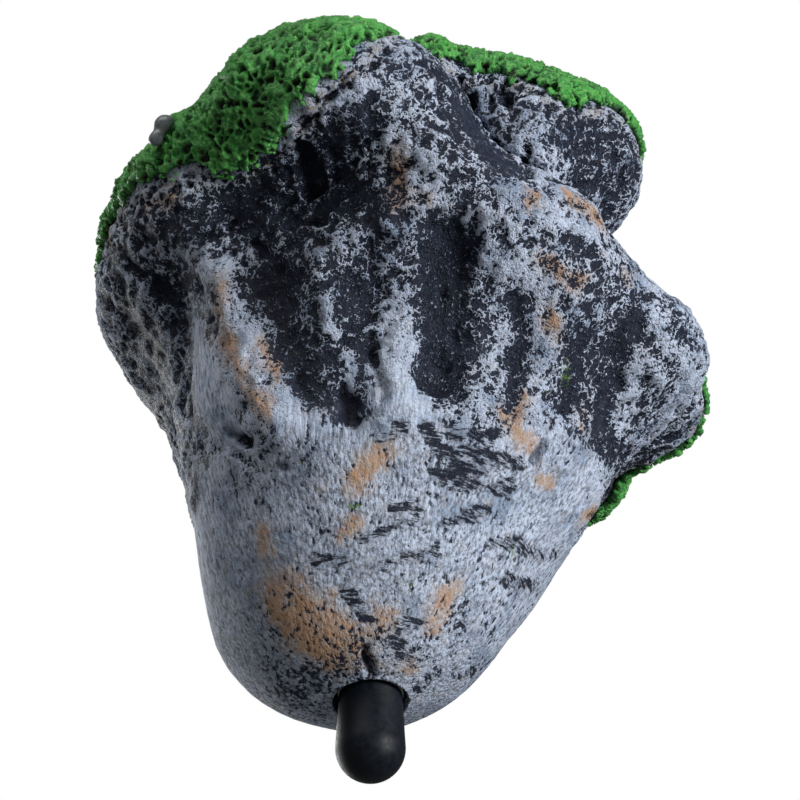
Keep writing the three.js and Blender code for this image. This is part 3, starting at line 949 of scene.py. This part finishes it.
RUBBER = plain("cap rubber", (0.002, 0.004, 0.008), (0.005, 0.008, 0.014), 1.2, 0.5, 0.03, specular=0.25)
HIDDEN_LOOKS = {
    "foam": plain("foam", (0.72, 0.60, 0.36), (0.80, 0.70, 0.46), 0.8, 0.9, 0.25),
    "dowel_wood": plain("dowel wood", (0.42, 0.25, 0.12), (0.58, 0.39, 0.21), 0.6, 0.7, 0.05, (1, 1, 0.08)),
    "tube_plastic": plain("tube plastic", (0.70, 0.71, 0.70), (0.76, 0.77, 0.75), 3, 0.45, 0.02),
    "plug_rubber": plain("plug rubber", (0.02, 0.02, 0.024), (0.035, 0.035, 0.04), 0.8, 0.7, 0.04),
}
STEEL = plain("ballast steel", (0.42, 0.43, 0.44), (0.56, 0.57, 0.58), 0.25, 0.32, 0.01, (1, 1, 0.05), 1.0)
GLUE = plain("dried glue", (0.16, 0.18, 0.19), (0.26, 0.28, 0.30), 2.0, 0.3, 0.05)

# ---------------------------------------------------------------- round pieces

def rounded(profile, radius, steps=5):
    """The profile with each of its corners that has a radius turned into an arc of straight steps."""
    points = []
    for i, corner in enumerate(profile):
        size = radius[i]
        if size == 0:
            points.append(corner)
            continue
        here, before, after = (np.array(profile[j % len(profile)], float) for j in (i, i - 1, i + 1))
        start = here + size * (before - here) / np.linalg.norm(before - here)
        end = here + size * (after - here) / np.linalg.norm(after - here)
        for step in range(steps + 1):
            t = step / steps
            points.append(tuple((1 - t) ** 2 * start + 2 * t * (1 - t) * here + t * t * end))
    return points


def ring(bm, radius, height):
    """A circle of vertices around the axis, or a single one on it."""
    radius, height = radius * MM, height * MM
    if radius == 0:
        return [bm.verts.new((0, 0, height))]
    angles = [2 * math.pi * i / ROUND_SEGMENTS for i in range(ROUND_SEGMENTS)]
    return [bm.verts.new((radius * math.cos(a), radius * math.sin(a), height)) for a in angles]


def turned(name, profile, material, body, node):
    """A closed solid from a profile of (radius, height) that starts and ends on the axis."""
    bm = bmesh.new()
    rings = [ring(bm, radius, height) for radius, height in profile]
    for lower, upper in zip(rings, rings[1:]):
        for i in range(ROUND_SEGMENTS):
            j = (i + 1) % ROUND_SEGMENTS
            corners = [lower[i % len(lower)], lower[j % len(lower)],
                       upper[j % len(upper)], upper[i % len(upper)]]
            bm.faces.new(list(dict.fromkeys(corners)))
    bmesh.ops.recalc_face_normals(bm, faces=bm.faces)
    mesh = bpy.data.meshes.new(name)
    bm.to_mesh(mesh)
    bm.free()
    shade_smooth(mesh)
    mesh.materials.append(material)
    obj = linked(name, mesh)
    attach(obj, body)
    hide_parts(node)


def cap_piece():
    """The cap: a tube with a rounded end and a soft lip, open at the top for the rod."""
    low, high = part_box("rubber_cap")
    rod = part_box("ballast_rod")
    radius, bottom, lip = high.x / MM, low.z / MM, high.z / MM
    bore = rod[1].x / MM + GAP
    floor = rod[0].z / MM - GAP
    neck = radius - CAP_TAPER
    angles = [math.pi / 2 * (i / DOME_STEPS - 1) for i in range(DOME_STEPS + 1)]
    dome = [(radius * math.cos(a), bottom + radius + radius * math.sin(a)) for a in angles]
    dome[0] = (0, bottom)
    inside = rounded([(neck, lip), (bore, lip), (bore, floor), (0, floor)], CAP_ROUNDING)
    turned("cap", dome + inside, RUBBER, "cap", "rubber_cap")


def rod_piece():
    """The steel rod, with a chamfer at each end."""
    low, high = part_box("ballast_rod")
    radius, bottom, top = high.x / MM, low.z / MM, high.z / MM
    inner = radius - ROD_CHAMFER
    profile = [(0, bottom), (inner, bottom), (radius, bottom + ROD_CHAMFER),
               (radius, top - ROD_CHAMFER), (inner, top), (0, top)]
    profile = rounded(profile, [0] + 4 * [ROD_ROUNDING] + [0], 2)
    turned("steel_rod", profile, STEEL, "ballast", "ballast_rod")


def glue_piece():
    """The bead of dried glue, a little lumpy."""
    points, edges, quads = remeshed(grown("moss_glue_bead", 0), SMALL_VOXEL)
    points = smoothed(points, edges, 8)
    normals = normals_of(points, quads)
    points = points + normals * (0.5 * layered_noise(points, size=3.5, seed=33, layers=2))[:, None]
    mesh = mesh_of("glue_bead", points, quads.tolist())
    shade_smooth(mesh)
    mesh.materials.append(GLUE)
    obj = linked("glue_bead", mesh)
    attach(obj, "rock")
    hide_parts("moss_glue_bead")


# ---------------------------------------------------------------- building

RESIN, MOSS = painted_resin(), moss_flock()
for name, node, core, mat, moss_name, least in LUMPS:
    rock, outside = rock_piece(name, node, core, mat, RESIN)
    moss_piece(moss_name, mat, rock, outside, least, MOSS)
glue_piece()
cap_piece()
rod_piece()

SLOTS = {part["node"]: part["material_slot"] for part in frame["record"]["subparts"]}
for node, slot in SLOTS.items():
    if slot in HIDDEN_LOOKS:
        NODES[node].data.materials.clear()
        NODES[node].data.materials.append(HIDDEN_LOOKS[slot])

# ---------------------------------------------------------------- camera, light and floor

def add_camera():
    """In front of the rock and below it, as in the photograph, with a long lens."""
    data = bpy.data.cameras.new("camera")
    data.lens = LENS
    data.sensor_width = SENSOR_WIDTH
    data.clip_end = FARTHEST_SEEN
    camera = bpy.data.objects.new("camera", data)
    bpy.context.scene.collection.objects.link(camera)
    direction = Vector((0, math.cos(CAMERA_RISE), math.sin(CAMERA_RISE)))
    camera.location = CAMERA_TARGET - direction * CAMERA_DISTANCE
    camera.rotation_euler = direction.to_track_quat("-Z", "Y").to_euler()
    bpy.context.scene.camera = camera


def add_area_light(name, location, size, power):
    """A square light that faces the rock."""
    data = bpy.data.lights.new(name, "AREA")
    data.size = size
    data.energy = power
    light = bpy.data.objects.new(name, data)
    bpy.context.scene.collection.objects.link(light)
    light.location = location
    light.rotation_euler = (CAMERA_TARGET - Vector(location)).to_track_quat("-Z", "Y").to_euler()


def add_world():
    """White where the camera sees it, and a softer grey as light."""
    world = bpy.data.worlds.new("studio")
    world.use_nodes = True
    tree = world.node_tree
    background = tree.nodes["Background"]
    path = tree.nodes.new("ShaderNodeLightPath")
    strength = tree.nodes.new("ShaderNodeMapRange")
    strength.inputs["To Min"].default_value = WORLD_LIGHT
    strength.inputs["To Max"].default_value = 1.0
    tree.links.new(path.outputs["Is Camera Ray"], strength.inputs["Value"])
    tree.links.new(strength.outputs[0], background.inputs["Strength"])
    background.inputs["Color"].default_value = (1, 1, 1, 1)
    bpy.context.scene.world = world


def add_floor():
    """A pale round floor. It glows a little, and lends the rock no light."""
    bm = bmesh.new()
    bmesh.ops.create_circle(bm, cap_ends=True, segments=ROUND_SEGMENTS, radius=FLOOR_RADIUS)
    mesh = bpy.data.meshes.new("floor")
    bm.to_mesh(mesh)
    bm.free()
    floor = linked("floor", mesh)
    floor.location = (0, 0, FLOOR_HEIGHT)
    s = Shader("floor", Roughness=0.8)
    s.set("Base Color", FLOOR_GREY)
    s.set("Emission Color", (1.0, 1.0, 1.0))
    s.set("Emission Strength", FLOOR_GLOW)
    mesh.materials.append(s.material)
    floor.visible_diffuse = False
    floor.visible_glossy = False


add_camera()
add_world()
add_floor()
for name, light in LIGHTS.items():
    add_area_light(name, *light)
bpy.context.scene.view_settings.view_transform = "Standard"
